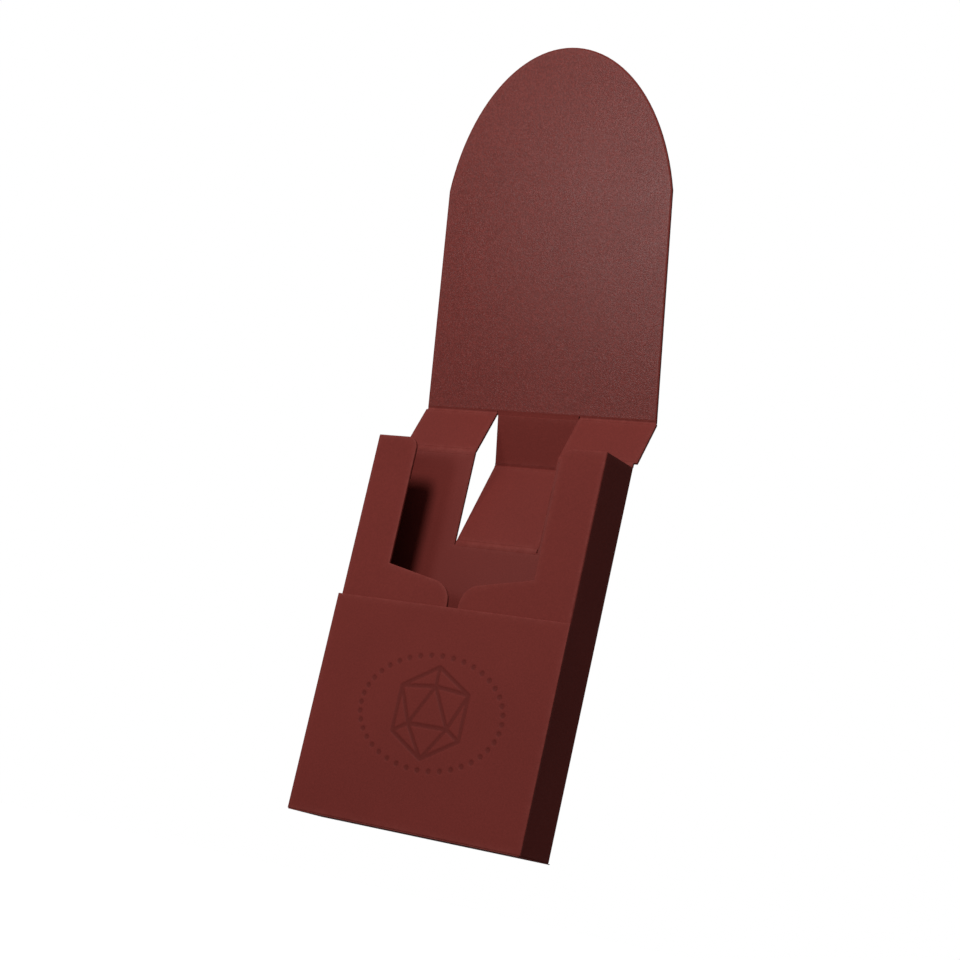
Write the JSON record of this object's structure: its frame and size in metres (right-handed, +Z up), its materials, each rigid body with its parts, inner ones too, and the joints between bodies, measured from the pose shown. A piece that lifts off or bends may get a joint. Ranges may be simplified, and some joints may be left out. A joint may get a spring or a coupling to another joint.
{
  "type": "dice tower",
  "caption": "Slim upright leatherette dice box with a fold-up tongue lid, a slit middle strip that bows out behind as a ramp, and a windowed front.",
  "frame": {"origin": "middle of the underside of the box, which is the mount base", "axes": "+Z up along the box, the windowed front faces -Y, +X to the right seen from the front"},
  "size_m": [0.0924, 0.0365, 0.2673],
  "materials": {
    "outer_leatherette": "dark red leatherette with a very fine grain, satin matte",
    "lining_leatherette": "dark red lining, fine pebbled grain, matte",
    "fold_leather": "dark red leatherette, creased",
    "grey_board": "grey pressed bookbinding board",
    "magnet_plating": "nickel plated disc"
  },
  "bodies": {
    "box": {"back_board": "grey_board", "base_board": "grey_board", "base_lining": "lining_leatherette", "base_outer_skin": "outer_leatherette", "body_lining": "lining_leatherette", "body_outer_skin": "outer_leatherette", "front_keeper_left": "magnet_plating", "front_keeper_right": "magnet_plating", "left_flap_board": "grey_board", "left_lid_fold_leather": "fold_leather", "left_side_board": "grey_board", "lower_front_board": "grey_board", "lower_front_lining": "lining_leatherette", "lower_front_outer_skin": "outer_leatherette", "middle_foot_fold_leather": "fold_leather", "right_flap_board": "grey_board", "right_lid_fold_leather": "fold_leather", "right_side_board": "grey_board"},
    "lid_strip": {"left_tab_board": "grey_board", "left_tab_lining": "lining_leatherette", "left_tab_outer_skin": "outer_leatherette", "left_tongue_fold_leather": "fold_leather", "right_tab_board": "grey_board", "right_tab_lining": "lining_leatherette", "right_tab_outer_skin": "outer_leatherette", "right_tongue_fold_leather": "fold_leather"},
    "tongue": {"middle_top_fold_leather": "fold_leather", "tongue_board": "grey_board", "tongue_lining": "lining_leatherette", "tongue_magnet_left": "magnet_plating", "tongue_magnet_right": "magnet_plating", "tongue_outer_skin": "outer_leatherette"},
    "middle_upper": {"middle_upper_board": "grey_board", "middle_upper_lining": "lining_leatherette", "middle_upper_outer_skin": "outer_leatherette"},
    "middle_lower": {"middle_bend_fold_leather": "fold_leather", "middle_lower_board": "grey_board", "middle_lower_lining": "lining_leatherette", "middle_lower_outer_skin": "outer_leatherette"}
  },
  "joints": [
    {"name": "lid_fold", "type": "hinge", "parent": "box", "child": "lid_strip", "pos_m": [0, 0.0085, 0.13], "axis": [1, 0, 0], "range_deg": [0, 114.7]},
    {"name": "tongue_fold", "type": "hinge", "parent": "lid_strip", "child": "tongue", "pos_m": [0, 0.01611, 0.14653], "axis": [1, 0, 0], "range_deg": [-38.8, 50.2]},
    {"name": "middle_upper_fold", "type": "hinge", "parent": "lid_strip", "child": "middle_upper", "pos_m": [0, 0.01611, 0.14653], "axis": [1, 0, 0], "range_deg": [-36.2, 0.1]},
    {"name": "middle_lower_fold", "type": "hinge", "parent": "box", "child": "middle_lower", "pos_m": [0, 0.0085, 0.0982], "axis": [1, 0, 0], "range_deg": [-0.1, 23]}
  ],
  "couplings": [
    {"joint": "middle_upper_fold", "follows": "lid_fold", "ratio": -0.31439},
    {"joint": "middle_lower_fold", "follows": "lid_fold", "ratio": 0.19939}
  ]
}
